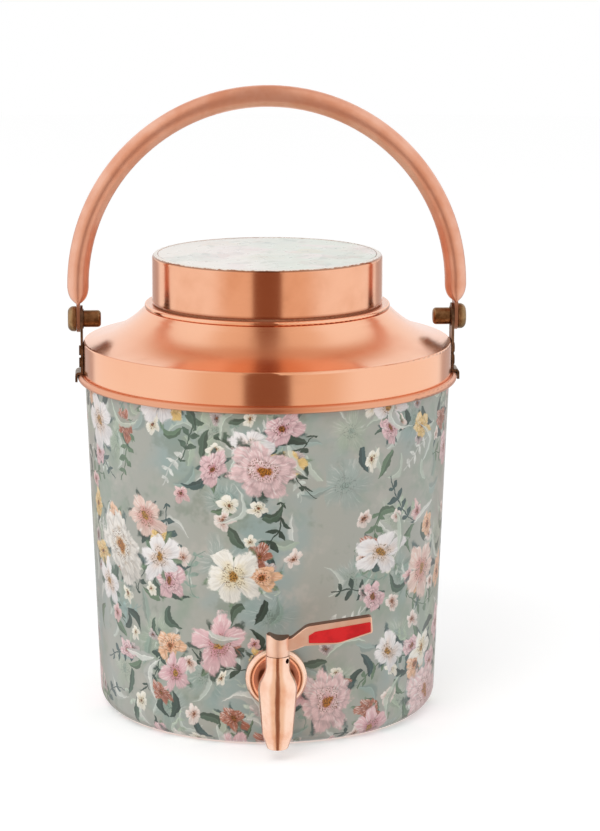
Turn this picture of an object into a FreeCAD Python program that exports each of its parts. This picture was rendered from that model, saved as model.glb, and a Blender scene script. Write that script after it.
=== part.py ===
import FreeCAD, Part
import math
import os
import re

import Sketcher

# Copper water pot with a push-on cap, a bail handle and a quarter-turn tap.
# Frame: +Z up along the pot's axis, base plane at z = 0, tap towards -Y, ears on the X axis.

doc = FreeCAD.newDocument("WaterPot")
sheet = doc.addObject("Spreadsheet::Sheet", "Sizes")

# Driving sizes in millimetres and degrees: name, value, what it is
SIZES = [
    ("foot_radius", 88.3, "outside radius of the body where its wall line meets the base plane"),
    ("top_radius", 95.1, "outside radius of the body at the seam"),
    ("seam_height", 173.5, "height of the seam between body and shoulder"),
    ("body_wall", 0.8, "copper sheet of the body"),
    ("foot_rounding", 10.0, "outside rounding between wall and base"),
    ("spigot_height", 5.5, "stretch of body that stands up inside the shoulder"),
    ("base_bead_radius", 62.0, "centre radius of the stiffening bead pressed into the base"),
    ("base_bead_width", 7.0, "width of that bead"),
    ("base_bead_depth", 1.6, "how far the bead is pressed up"),
    ("solder_gap", 0.1, "gap of a soldered slip joint"),
    ("collar_height", 20.8, "collar band, from the seam to the shoulder corner"),
    ("collar_wall", 0.8, "copper sheet of the shoulder"),
    ("sweep_inset", 18.2, "from the collar radius in to where the two shoulder slopes cross"),
    ("sweep_rise", 3.9, "rise of the flat shoulder slope"),
    ("sweep_rounding", 55.0, "radius of the sweep between the two slopes"),
    ("cone_rise", 13.8, "rise of the steep shoulder slope"),
    ("shoulder_width", 32.4, "from the collar radius in to the edge of the shoulder's top land"),
    ("bead_tube_radius", 1.8, "outside radius of the rolled edge's section"),
    ("bead_lift", 2.3, "height of the rolled edge's centre over the seam"),
    ("wire_gap", 0.4, "gap between the wire and the rolled sheet"),
    ("step_overhang", 0.3, "how far the neck's step ring stands out past the land"),
    ("step_height", 2.2, "height of the neck's step ring"),
    ("neck_inset", 4.8, "from the edge of the land in to the neck tube"),
    ("neck_wall", 0.8, "copper sheet of the neck"),
    ("neck_tail", 3.0, "neck tube below the land"),
    ("cap_gap", 0.95, "gap between the step ring and the cap's lower edge"),
    ("cap_height", 24.7, "cap, from its lower edge to the top of its rim"),
    ("cap_wall", 0.8, "copper sheet of the cap"),
    ("cap_fit", 0.3, "gap between cap and neck all round, and where the cap seats"),
    ("rim_width", 3.1, "width of the cap's raised rim"),
    ("rim_depth", 0.8, "depth of the recess inside the rim"),
    ("disc_sheet", 0.6, "thickness of the printed disc"),
    ("disc_gap", 0.1, "gap round the printed disc"),
    ("pivot_rise", 11.7, "handle pivot above the shoulder corner"),
    ("ear_seat", 0.05, "gap between ear and collar band"),
    ("ear_sheet", 1.2, "thickness of an ear"),
    ("ear_width", 14.0, "width of an ear"),
    ("foot_drop", 5.2, "how far the ear's foot hangs down outside the rolled edge"),
    ("rivet_radius", 1.5, "shank radius of an ear rivet"),
    ("rivet_head_radius", 2.6, "head radius of an ear rivet"),
    ("rivet_head_height", 0.9, "head height of an ear rivet"),
    ("rivet_spacing", 6.4, "distance between the two rivets of an ear"),
    ("rivet_drop", 5.0, "upper rivet below the shoulder corner"),
    ("bolt_radius", 2.5, "shank radius of a pivot bolt"),
    ("pivot_play", 0.05, "running clearance of the handle end on its bolt"),
    ("side_play", 0.15, "clearance on each face of the handle end"),
    ("head_radius", 6.6, "radius of a pivot bolt's head"),
    ("head_height", 4.4, "height of a pivot bolt's head"),
    ("nut_radius", 4.4, "radius of the long nut inside an ear"),
    ("nut_length", 9.0, "length of that nut"),
    ("washer_radius", 5.2, "radius of the thin washer under the nut"),
    ("washer_sheet", 0.5, "thickness of that washer"),
    ("bail_tube_radius", 5.6, "half the handle tube's width, in the plane of the arch"),
    ("bail_tube_depth", 5.9, "half the tube's depth, across that plane"),
    ("bail_wall", 1.2, "copper wall of the handle tube"),
    ("bail_leg", 17.0, "from the pivot up to the start of the arch"),
    ("bail_flat_start", 16.6, "from the pivot up to where the tube starts to flatten"),
    ("tongue_sheet", 1.8, "thickness of the flattened handle end"),
    ("tongue_radius", 7.0, "radius of the rounded handle end"),
    ("tongue_top", 8.4, "from the pivot up to the fully flattened end"),
    ("tap_height", 38.6, "height of the tap's inlet axis"),
    ("tap_reach", 16.2, "from the rosette's back to the barrel's axis"),
    ("shank_radius", 8.0, "radius of the threaded shank"),
    ("shank_length", 17.0, "shank behind the rosette"),
    ("shank_fit", 0.3, "gap round the shank in the wall and washers"),
    ("inlet_radius", 3.5, "radius of the water way in the shank"),
    ("rosette_radius", 15.6, "radius of the rosette"),
    ("rosette_height", 5.5, "rosette, back to crest"),
    ("rosette_dish", 3.4, "depth of the dished middle of the rosette"),
    ("dish_radius", 7.1, "radius of that dish's floor"),
    ("tap_neck_radius", 5.4, "radius of the neck between rosette and barrel"),
    ("barrel_radius", 6.0, "radius of the barrel"),
    ("barrel_rise", 15.6, "barrel above the inlet axis"),
    ("bell_radius", 10.1, "widest radius of the spout"),
    ("bell_rise", 0.5, "widest point of the spout above the inlet axis"),
    ("waist_rise", 8.0, "where the barrel starts to widen, above the inlet axis"),
    ("nose_radius", 7.7, "spout radius where its nose starts"),
    ("nose_height", 7.2, "height of the rounded nose"),
    ("spout_drop", 32.6, "spout tip below the inlet axis"),
    ("lip_radius", 5.2, "spout radius at its tip"),
    ("outlet_radius", 3.6, "radius of the water way in the spout"),
    ("plug_radius", 4.3, "radius of the plug's seat at the barrel's top"),
    ("plug_taper", 0.5, "how much narrower the seat is at its lower end"),
    ("plug_drop", 7.0, "lower end of the plug's seat below the inlet axis"),
    ("plug_play", 0.04, "running clearance of the plug in its seat"),
    ("port_radius", 2.6, "radius of the plug's side port and bore"),
    ("port_top", 3.2, "top of the plug's bore above the inlet axis"),
    ("tang_side", 4.4, "side of the plug's square tang"),
    ("tang_height", 5.4, "height of the tang"),
    ("tang_gap", 0.05, "gap round the tang in the lever"),
    ("screw_radius", 1.3, "radius of the retaining screw"),
    ("screw_drop", 2.1, "retaining screw below the barrel's top"),
    ("screw_turn", 51.0, "retaining screw, turned from the front towards +X"),
    ("groove_depth", 1.2, "depth of the plug's stop groove"),
    ("groove_gap", 0.15, "gap round the screw's tip in the stop groove"),
    ("lever_turn", 90.0, "how far the lever turns"),
    ("stop_margin", 24.8, "extra angle of the stop groove at each end, for the screw's own width"),
    ("lever_gap", 0.2, "gap between barrel and lever"),
    ("boss_radius", 5.7, "radius of the lever's boss"),
    ("boss_height", 11.0, "height of the lever's boss"),
    ("saddle_radius", 8.0, "radius of the hollow across the boss's top"),
    ("saddle_depth", 2.2, "depth of that hollow"),
    ("lever_sheet", 5.6, "thickness of the lever"),
    ("lever_length", 47.2, "lever, from the barrel's axis to its end"),
    ("grip_start", 15.2, "from the barrel's axis to the start of the red grip"),
    ("paddle_height", 10.2, "height of the lever's paddle at its start"),
    ("paddle_lift", 5.0, "paddle's lower edge above the boss's foot, at its start"),
    ("paddle_rise", 4.7, "how much higher the paddle's upper edge is at its end"),
    ("tip_rise", 6.3, "how much higher the paddle's lower edge is at its end"),
    ("lever_rounding", 0.8, "rounding of the lever's edges"),
    ("grip_rim", 1.5, "copper rim below and beside the grip"),
    ("grip_brow", 2.8, "copper rim above the grip"),
    ("grip_depth", 1.3, "depth of the recess for the grip"),
    ("grip_proud", 0.35, "how far the grip stands out of its recess"),
    ("grip_gap", 0.08, "gap round the grip"),
    ("seal_radius", 13.2, "radius of the rubber washers"),
    ("seal_gap", 0.15, "gap between the rubber washers and the pot's wall"),
    ("outer_seal", 2.5, "thickness of the outer rubber washer at its thinnest"),
    ("inner_seal", 2.5, "thickness of the inner rubber washer at its thickest"),
    ("plate_sheet", 1.2, "thickness of the steel washer"),
    ("plate_radius", 13.0, "radius of the steel washer"),
    ("lock_flats", 23.0, "width across flats of the lock nut"),
    ("lock_height", 5.5, "height of the lock nut"),
]
NAMES = [row[0] for row in SIZES]

for number, (name, value, meaning) in enumerate(SIZES, start=1):
    sheet.set(f"A{number}", name)
    sheet.set(f"B{number}", str(value))
    sheet.set(f"C{number}", meaning)
    sheet.setAlias(f"B{number}", name)
doc.recompute()

# Radii, heights and places that several pieces share, written from the driving sizes
COLLAR_INSIDE = "(top_radius + solder_gap)"
COLLAR_RADIUS = "(top_radius + solder_gap + collar_wall)"
RING_RADIUS = f"({COLLAR_RADIUS} - shoulder_width)"
CORNER_HEIGHT = "(seam_height + collar_height)"
SWEEP_RADIUS = f"({COLLAR_RADIUS} - sweep_inset)"
SWEEP_HEIGHT = "(seam_height + collar_height + sweep_rise)"
LAND_HEIGHT = "(seam_height + collar_height + sweep_rise + cone_rise)"
BEAD_RADIUS = f"({COLLAR_INSIDE} + collar_wall / 4 + bead_tube_radius)"
BEAD_HEIGHT = "(seam_height + bead_lift)"
NECK_RADIUS = f"({RING_RADIUS} - neck_inset)"
STEP_TOP = "(seam_height + collar_height + sweep_rise + cone_rise + step_height)"
CAP_FOOT = f"({STEP_TOP} + cap_gap)"
CAP_TOP = f"({STEP_TOP} + cap_gap + cap_height)"
CAP_RADIUS = f"({NECK_RADIUS} + cap_fit + cap_wall)"
RECESS_FLOOR = f"({CAP_TOP} - rim_depth)"
PANEL_UNDERSIDE = f"({RECESS_FLOOR} - cap_wall)"
PIVOT_HEIGHT = f"({CORNER_HEIGHT} + pivot_rise)"
EAR_FACE = f"({COLLAR_RADIUS} + ear_seat)"
EAR_OUTSIDE = f"({EAR_FACE} + ear_sheet)"
BAIL_HALF = f"({EAR_OUTSIDE} + side_play + tongue_sheet / 2)"
WALL_SLOPE = "((top_radius - foot_radius) / seam_height)"
TAP_WALL = f"(foot_radius + {WALL_SLOPE} * tap_height)"
TAP_FACE = f"({TAP_WALL} + outer_seal)"
BARREL_PLACE = f"({TAP_FACE} + tap_reach)"
INNER_SEAL_FACE = f"({TAP_WALL} - body_wall - inner_seal)"
TAP_ORIGIN = {"y": f"0 - {BARREL_PLACE}", "z": "tap_height"}
BOSS_FOOT = "(barrel_rise + lever_gap)"
BOSS_TOP = "(barrel_rise + lever_gap + boss_height)"


def cells(text):
    """Put the sheet's name before every size in an expression."""
    return re.sub(r"[A-Za-z_]\w*", lambda m: f"Sizes.{m[0]}" if m[0] in NAMES else m[0], str(text))


def size(text):
    """The present value of an expression."""
    return float(sheet.evalExpression(cells(text)))


def new_body(label, place=None):
    """A body with its own label, set at a place given as up to three expressions."""
    body = doc.addObject("PartDesign::Body", "Body")
    body.Label = label
    for axis, text in (place or {}).items():
        body.setExpression(f"Placement.Base.{axis}", cells(text))
    return body


def new_sketch(body, plane, offset=None, turn=None):
    """A sketch on one of the body's planes, moved along its normal or turned about its upright axis."""
    sketch = body.newObject("Sketcher::SketchObject", "Sketch")
    support = [f for f in body.Origin.OriginFeatures if f.Role == plane][0]
    sketch.AttachmentSupport = [(support, "")]
    sketch.MapMode = "FlatFace"
    if turn is not None:
        upright = FreeCAD.Rotation(FreeCAD.Vector(0, 1, 0), size(turn))
        sketch.AttachmentOffset = FreeCAD.Placement(FreeCAD.Vector(), upright)
        sketch.setExpression("AttachmentOffset.Rotation.Angle", cells(turn))
    if offset is not None:
        sketch.setExpression("AttachmentOffset.Base.z", cells(offset))
    doc.recompute()
    return sketch


def pin_point(sketch, item, end, corner):
    """Tie a point of a sketch to two expressions."""
    for text, name, axis in ((corner[0], "DistanceX", -2), (corner[1], "DistanceY", -1)):
        if text == "0":
            sketch.addConstraint(Sketcher.Constraint("PointOnObject", item, end, axis))
        else:
            row = sketch.addConstraint(Sketcher.Constraint(name, -1, 1, item, end, size(text)))
            sketch.setExpression(f"Constraints[{row}]", cells(text))


def outline(sketch, corners):
    """A closed outline of straight runs, each corner (x, y) or (x, y, rounding)."""
    count = len(corners)
    points = [FreeCAD.Vector(size(c[0]), size(c[1]), 0) for c in corners]
    starts, ends, middles = [], [], []
    for index in range(count):
        back = (points[index - 1] - points[index]).normalize()
        ahead = (points[(index + 1) % count] - points[index]).normalize()
        starts.append(points[index])
        ends.append(points[index])
        middles.append(None)
        if len(corners[index]) > 2:
            radius = size(corners[index][2])
            half = back.getAngle(ahead) / 2
            inward = (back + ahead).normalize()
            starts[index] = points[index] + back * (radius / math.tan(half))
            ends[index] = points[index] + ahead * (radius / math.tan(half))
            middles[index] = points[index] + inward * (radius / math.sin(half) - radius)
    lines = []
    for index in range(count):
        run = Part.LineSegment(ends[index], starts[(index + 1) % count])
        lines.append(sketch.addGeometry(run))
    for index in range(count):
        before, after = lines[index - 1], lines[index]
        if middles[index] is None:
            sketch.addConstraint(Sketcher.Constraint("Coincident", before, 2, after, 1))
            pin_point(sketch, after, 1, corners[index])
            continue
        # arcs are kept anticlockwise, so one at an inside corner runs from its far end
        left_turn = (starts[index] - points[index]).cross(ends[index] - points[index]).z < 0
        first = 1 if left_turn else 2
        ring = [starts[index], middles[index], ends[index]]
        arc = sketch.addGeometry(Part.Arc(*(ring if left_turn else ring[::-1])))
        tip = sketch.addGeometry(Part.Point(points[index]), True)
        sketch.addConstraint(Sketcher.Constraint("Tangent", before, 2, arc, first))
        sketch.addConstraint(Sketcher.Constraint("Tangent", arc, 3 - first, after, 1))
        sketch.addConstraint(Sketcher.Constraint("PointOnObject", tip, 1, before))
        sketch.addConstraint(Sketcher.Constraint("PointOnObject", tip, 1, after))
        row = sketch.addConstraint(Sketcher.Constraint("Radius", arc, size(corners[index][2])))
        sketch.setExpression(f"Constraints[{row}]", cells(corners[index][2]))
        pin_point(sketch, tip, 1, corners[index])


def ellipse(sketch, centre, across, along):
    """An ellipse by its two half axes, the longer one along the sketch's upright direction."""
    middle = FreeCAD.Vector(size(centre[0]), size(centre[1]), 0)
    end = middle + FreeCAD.Vector(0, size(along), 0)
    side = middle + FreeCAD.Vector(size(across), 0, 0)
    ring = sketch.addGeometry(Part.Ellipse(end, side, middle))
    sketch.exposeInternalGeometry(ring)
    pin_point(sketch, ring, 3, centre)
    sketch.addConstraint(Sketcher.Constraint("Vertical", ring + 1))
    for line, text in ((ring + 1, along), (ring + 2, across)):
        row = sketch.addConstraint(Sketcher.Constraint("Distance", line, 2 * size(text)))
        sketch.setExpression(f"Constraints[{row}]", cells(f"2 * ({text})"))


def circle(sketch, centre, radius):
    """A circle tied to its centre and radius expressions."""
    middle = FreeCAD.Vector(size(centre[0]), size(centre[1]), 0)
    ring = sketch.addGeometry(Part.Circle(middle, FreeCAD.Vector(0, 0, 1), size(radius)))
    row = sketch.addConstraint(Sketcher.Constraint("Radius", ring, size(radius)))
    sketch.setExpression(f"Constraints[{row}]", cells(radius))
    pin_point(sketch, ring, 3, centre)


def turned(body, kind, shape, plane="XZ_Plane", axis="V_Axis"):
    """Revolution or Groove of an outline, or of a sketch, about an axis of the sketch."""
    sketch = shape
    if isinstance(shape, list):
        sketch = new_sketch(body, plane)
        outline(sketch, shape)
    feature = body.newObject(f"PartDesign::{kind}", kind)
    feature.Profile = sketch
    feature.ReferenceAxis = (sketch, [axis])
    feature.Angle = 360
    doc.recompute()
    return feature


def extruded(body, kind, sketch, length, both_ways=False, reverse=False):
    """Pad or Pocket of a sketch."""
    feature = body.newObject(f"PartDesign::{kind}", kind)
    feature.Profile = sketch
    feature.setExpression("Length", cells(length))
    feature.Reversed = reverse
    if both_ways:
        feature.SideType = "Symmetric"
    doc.recompute()
    return feature


def rounded(body, feature, edges, radius):
    """Fillet of the chosen edges."""
    fillet = body.newObject("PartDesign::Fillet", "Fillet")
    fillet.Base = (feature, edges)
    fillet.setExpression("Radius", cells(radius))
    doc.recompute()


def edges_where(feature, test):
    """Names of a feature's edges whose centre passes a test."""
    found = enumerate(feature.Shape.Edges, start=1)
    return [f"Edge{number}" for number, edge in found if test(edge)]


def mirrored(body, features, plane="YZ_Plane"):
    """Mirror features over one of the body's own planes."""
    mirror = body.newObject("PartDesign::Mirrored", "Mirrored")
    mirror.Originals = features
    support = [f for f in body.Origin.OriginFeatures if f.Role == plane][0]
    mirror.MirrorPlane = (support, [""])
    body.Tip = mirror
    doc.recompute()
    return mirror


# Pot body: one spun sheet with a rounded foot, its top edge straight to stand inside the shoulder
def make_pot_body():
    body = new_body("pot_body")
    rim = "(seam_height + spigot_height)"
    turned(body, "Revolution", [
        ("0", "0"),
        ("foot_radius", "0", "foot_rounding"),
        ("top_radius", "seam_height"),
        ("top_radius", rim),
        ("top_radius - body_wall", rim),
        ("top_radius - body_wall", "seam_height"),
        (f"foot_radius - body_wall + {WALL_SLOPE} * body_wall", "body_wall", "foot_rounding - body_wall"),
        ("0", "body_wall"),
    ])
    inner = "(base_bead_radius - base_bead_width / 2)"
    outer = "(base_bead_radius + base_bead_width / 2)"
    turned(body, "Revolution", [
        (f"{inner} - body_wall", "body_wall / 2"),
        (f"{outer} + body_wall", "body_wall / 2"),
        (f"{outer} - body_wall / 4", "body_wall + base_bead_depth", "body_wall"),
        (f"{inner} + body_wall / 4", "body_wall + base_bead_depth", "body_wall"),
    ])
    turned(body, "Groove", [
        (inner, "0 - body_wall"),
        (outer, "0 - body_wall"),
        (outer, "0"),
        (f"{outer} - body_wall", "base_bead_depth", "body_wall / 2"),
        (f"{inner} + body_wall", "base_bead_depth", "body_wall / 2"),
        (inner, "0"),
    ])
    sketch = new_sketch(body, "XZ_Plane")
    circle(sketch, ("0", "tap_height"), "shank_radius + shank_fit")
    extruded(body, "Pocket", sketch, "top_radius * 2", reverse=True)
    return body


# Wire that stiffens the rolled edge
def make_bead_wire():
    body = new_body("bead_wire")
    sketch = new_sketch(body, "XZ_Plane")
    circle(sketch, (BEAD_RADIUS, BEAD_HEIGHT), "bead_tube_radius - collar_wall - wire_gap")
    turned(body, "Revolution", sketch)
    return body


def rivet_heights():
    """Heights of the two rivets of an ear."""
    return [f"{CORNER_HEIGHT} - rivet_drop - rivet_spacing * {row}" for row in range(2)]


def drill_rivet_holes(body):
    """Holes for the ear rivets, straight through along X."""
    sketch = new_sketch(body, "YZ_Plane")
    for height in rivet_heights():
        circle(sketch, ("0", height), "rivet_radius")
    extruded(body, "Pocket", sketch, f"{COLLAR_RADIUS} * 3", both_ways=True)


# Shoulder: collar band, swept slope and flat land in one sheet, lower edge rolled round the wire
def make_shoulder():
    body = new_body("shoulder")
    # the inside runs one sheet below the two slopes, measured square to each
    flat_slope = "(sweep_rise / sweep_inset)"
    steep_slope = "(cone_rise / (shoulder_width - sweep_inset))"
    under_flat = f"(collar_wall * sqrt(1 + {flat_slope}^2))"
    under_steep = f"(collar_wall * sqrt(1 + {steep_slope}^2))"
    shift = f"(({under_steep} - {under_flat}) / ({steep_slope} - {flat_slope}))"
    turned(body, "Revolution", [
        (COLLAR_INSIDE, BEAD_HEIGHT),
        (COLLAR_RADIUS, BEAD_HEIGHT),
        (COLLAR_RADIUS, CORNER_HEIGHT, "collar_wall * 1.6"),
        (SWEEP_RADIUS, SWEEP_HEIGHT, "sweep_rounding"),
        (RING_RADIUS, LAND_HEIGHT, "collar_wall * 1.2"),
        (f"{NECK_RADIUS} + solder_gap", LAND_HEIGHT),
        (f"{NECK_RADIUS} + solder_gap", f"{LAND_HEIGHT} - collar_wall"),
        (f"{SWEEP_RADIUS} - (cone_rise - collar_wall + {under_steep}) / {steep_slope}",
         f"{LAND_HEIGHT} - collar_wall"),
        (f"{SWEEP_RADIUS} - {shift}", f"{SWEEP_HEIGHT} + {shift} * {flat_slope} - {under_flat}",
         "sweep_rounding + collar_wall"),
        (COLLAR_INSIDE,
         f"{SWEEP_HEIGHT} - (sweep_inset - collar_wall) * {flat_slope} - {under_flat}",
         "collar_wall * 0.6"),
    ])
    sketch = new_sketch(body, "XZ_Plane")
    circle(sketch, (BEAD_RADIUS, BEAD_HEIGHT), "bead_tube_radius")
    turned(body, "Revolution", sketch)
    sketch = new_sketch(body, "XZ_Plane")
    circle(sketch, (BEAD_RADIUS, BEAD_HEIGHT), "bead_tube_radius - collar_wall")
    turned(body, "Groove", sketch)
    # slit between the end of the roll and the band
    slit_top = f"{BEAD_HEIGHT} - collar_wall * 0.4"
    turned(body, "Groove", [
        (f"{BEAD_RADIUS} - bead_tube_radius * 1.2", slit_top),
        (f"{BEAD_RADIUS} - bead_tube_radius * 0.3", slit_top),
        (f"{BEAD_RADIUS} - bead_tube_radius * 0.3", f"{slit_top} - wire_gap * 1.2"),
        (f"{BEAD_RADIUS} - bead_tube_radius * 1.2", f"{slit_top} - wire_gap * 1.2"),
    ])
    drill_rivet_holes(body)
    return body


# Neck: tube with a rounded step ring that rests on the shoulder's land
def make_neck():
    body = new_body("neck")
    inside = f"({NECK_RADIUS} - neck_wall)"
    top = f"({PANEL_UNDERSIDE} - cap_fit)"
    turned(body, "Revolution", [
        (inside, f"{LAND_HEIGHT} - neck_tail"),
        (NECK_RADIUS, f"{LAND_HEIGHT} - neck_tail"),
        (NECK_RADIUS, LAND_HEIGHT),
        (f"{RING_RADIUS} + step_overhang", LAND_HEIGHT, "step_height * 0.35"),
        (f"{RING_RADIUS} + step_overhang", STEP_TOP, "step_height * 0.5"),
        (NECK_RADIUS, STEP_TOP, "step_height * 0.4"),
        (NECK_RADIUS, top, "neck_wall * 0.4"),
        (inside, top, "neck_wall * 0.4"),
    ])
    return body


# Cap: straight skirt that slides over the neck, recessed panel inside a rounded rim
def make_cap():
    body = new_body("cap")
    inside = f"({CAP_RADIUS} - cap_wall)"
    recess = f"({CAP_RADIUS} - rim_width)"
    turned(body, "Revolution", [
        ("0", PANEL_UNDERSIDE),
        (inside, PANEL_UNDERSIDE, "cap_wall * 0.6"),
        (inside, CAP_FOOT, "cap_wall * 0.4"),
        (CAP_RADIUS, CAP_FOOT, "cap_wall * 0.4"),
        (CAP_RADIUS, CAP_TOP, "rim_width * 0.7"),
        (recess, CAP_TOP, "rim_depth * 0.7"),
        (recess, RECESS_FLOOR),
        ("0", RECESS_FLOOR),
    ])
    return body


# Printed disc that lies in the cap's recess
def make_cap_disc():
    body = new_body("cap_disc")
    sketch = new_sketch(body, "XY_Plane", RECESS_FLOOR)
    circle(sketch, ("0", "0"), f"{CAP_RADIUS} - rim_width - disc_gap")
    extruded(body, "Pad", sketch, "disc_sheet")
    return body


# Ear: plate on the collar band, round at the pivot, its foot bent over the rolled edge
def make_ear(label, side):
    body = new_body(label)
    sketch = new_sketch(body, "XZ_Plane")
    bead_top = f"({BEAD_HEIGHT} + bead_tube_radius + ear_seat)"
    bead_side = f"({BEAD_RADIUS} + bead_tube_radius + ear_seat)"
    low = f"({bead_top} + ear_sheet - foot_drop)"
    high = f"({PIVOT_HEIGHT} + ear_width / 2)"
    bend = "bead_tube_radius * 0.4"
    outline(sketch, [
        (f"{side} * {EAR_FACE}", high),
        (f"{side} * {EAR_FACE}", bead_top),
        (f"{side} * {bead_side}", bead_top, bend),
        (f"{side} * {bead_side}", low),
        (f"{side} * ({bead_side} + ear_sheet)", low),
        (f"{side} * ({bead_side} + ear_sheet)", f"{bead_top} + ear_sheet", f"{bend} + ear_sheet"),
        (f"{side} * {EAR_OUTSIDE}", f"{bead_top} + ear_sheet", "ear_sheet * 0.5"),
        (f"{side} * {EAR_OUTSIDE}", high),
    ])
    extruded(body, "Pad", sketch, "ear_width", both_ways=True)
    # the round top is what is left inside an arch-shaped outline
    sketch = new_sketch(body, "YZ_Plane")
    wide = "(ear_width * 0.8)"
    outline(sketch, [
        (f"0 - {wide}", f"{PIVOT_HEIGHT} + ear_width"),
        (f"0 - {wide}", PIVOT_HEIGHT),
        ("0 - ear_width / 2", PIVOT_HEIGHT),
        ("0 - ear_width / 2", f"{PIVOT_HEIGHT} + ear_width / 2", "ear_width * 0.4999"),
        ("ear_width / 2", f"{PIVOT_HEIGHT} + ear_width / 2", "ear_width * 0.4999"),
        ("ear_width / 2", PIVOT_HEIGHT),
        (wide, PIVOT_HEIGHT),
        (wide, f"{PIVOT_HEIGHT} + ear_width"),
    ])
    extruded(body, "Pocket", sketch, f"{COLLAR_RADIUS} * 3", both_ways=True)
    sketch = new_sketch(body, "YZ_Plane")
    circle(sketch, ("0", PIVOT_HEIGHT), "bolt_radius + pivot_play")
    extruded(body, "Pocket", sketch, f"{COLLAR_RADIUS} * 3", both_ways=True)
    drill_rivet_holes(body)
    return body


# Rivets: shank through ear and band, domed head outside and flat tail inside
def make_ear_rivets():
    body = new_body("ear_rivets")
    inside = f"({COLLAR_INSIDE} - ear_seat)"
    tail = f"{inside} - rivet_head_height"
    stretches = [
        (tail, f"{EAR_OUTSIDE} - {inside} + 2 * rivet_head_height", "rivet_radius"),
        (tail, "rivet_head_height", "rivet_head_radius * 0.85"),
        (EAR_OUTSIDE, "rivet_head_height", "rivet_head_radius"),
    ]
    pads = []
    for start, length, radius in stretches:
        sketch = new_sketch(body, "YZ_Plane", start)
        for height in rivet_heights():
            circle(sketch, ("0", height), radius)
        pads.append(extruded(body, "Pad", sketch, length))
    mirrored(body, pads)
    return body


# Pivot bolt: domed head outside the handle end, shank through handle end and ear
def make_pivot_bolt(label, side):
    body = new_body(label, {"z": PIVOT_HEIGHT})
    seat = f"({EAR_OUTSIDE} + 2 * side_play + tongue_sheet)"
    end = f"({EAR_FACE} - washer_sheet - nut_length * 0.7)"
    turned(body, "Revolution", [
        (f"{side} * {end}", "0"),
        (f"{side} * ({seat} + head_height)", "0"),
        (f"{side} * ({seat} + head_height)", "head_radius", "head_height * 0.68"),
        (f"{side} * {seat}", "head_radius", "head_height * 0.12"),
        (f"{side} * {seat}", "bolt_radius"),
        (f"{side} * {end}", "bolt_radius"),
    ], axis="H_Axis")
    return body


# Long round nut with a closed inner end
def make_pivot_nut(label, side):
    body = new_body(label, {"z": PIVOT_HEIGHT})
    seat = f"({EAR_FACE} - washer_sheet)"
    turned(body, "Revolution", [
        (f"{side} * ({seat} - nut_length)", "0"),
        (f"{side} * ({seat} - nut_length * 0.75)", "0"),
        (f"{side} * ({seat} - nut_length * 0.75)", "bolt_radius"),
        (f"{side} * {seat}", "bolt_radius"),
        (f"{side} * {seat}", "nut_radius", "nut_radius * 0.1"),
        (f"{side} * ({seat} - nut_length)", "nut_radius", "nut_radius * 0.4"),
    ], axis="H_Axis")
    return body


# Thin washers between the nuts and the ears
def make_pivot_washers():
    body = new_body("pivot_washers", {"z": PIVOT_HEIGHT})
    sketch = new_sketch(body, "YZ_Plane", f"{EAR_FACE} - washer_sheet")
    circle(sketch, ("0", "0"), "washer_radius")
    circle(sketch, ("0", "0"), "bolt_radius + pivot_play")
    mirrored(body, [extruded(body, "Pad", sketch, "washer_sheet")])
    return body


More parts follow.
